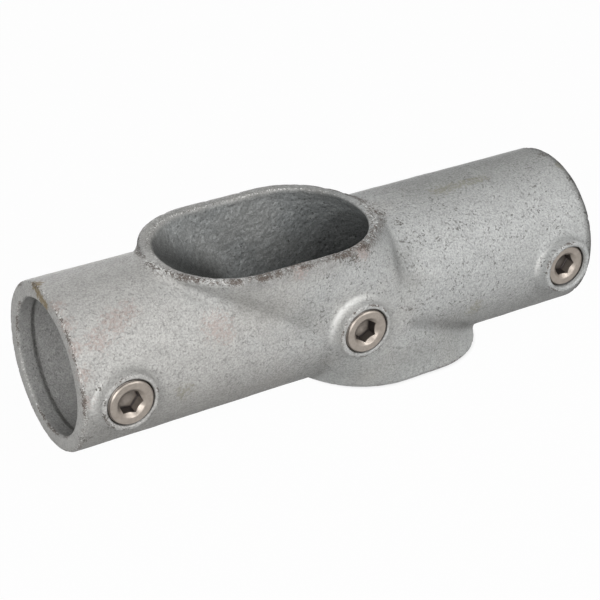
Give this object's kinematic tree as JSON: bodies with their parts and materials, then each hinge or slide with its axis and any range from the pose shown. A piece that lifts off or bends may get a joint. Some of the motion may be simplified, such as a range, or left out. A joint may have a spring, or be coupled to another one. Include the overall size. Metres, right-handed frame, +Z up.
{
  "type": "two socket cross tube clamp",
  "caption": "Cast tube clamp with a blind round socket at each end and a slanted oval sleeve through the middle, each with a hexagon socket set screw that grips the tube.",
  "frame": {"origin": "point where the socket axis and the axis of a tube leaning 44 degrees in the sleeve cross, at the middle of the casting", "axes": "+X along the right socket, +Z up between the sleeve's two rims, screws facing -Y"},
  "size_m": [0.215, 0.0678, 0.062],
  "materials": {
    "galvanised_iron": "hot-dip galvanised, mottled grey",
    "screw_steel": "bare machined steel"
  },
  "bodies": {
    "casting": {"clamp_casting": "galvanised_iron"},
    "left_screw": {"left_set_screw": "screw_steel"},
    "middle_screw": {"middle_set_screw": "screw_steel"},
    "right_screw": {"right_set_screw": "screw_steel"}
  },
  "joints": [
    {"name": "left_screw_travel", "type": "slide", "parent": "casting", "child": "left_screw", "axis": [0, 1, 0], "range_m": [-0.004, 0.0055]},
    {"name": "middle_screw_travel", "type": "slide", "parent": "casting", "child": "middle_screw", "axis": [0, 1, 0], "range_m": [-0.004, 0.006]},
    {"name": "right_screw_travel", "type": "slide", "parent": "casting", "child": "right_screw", "axis": [0, 1, 0], "range_m": [-0.004, 0.004]}
  ]
}
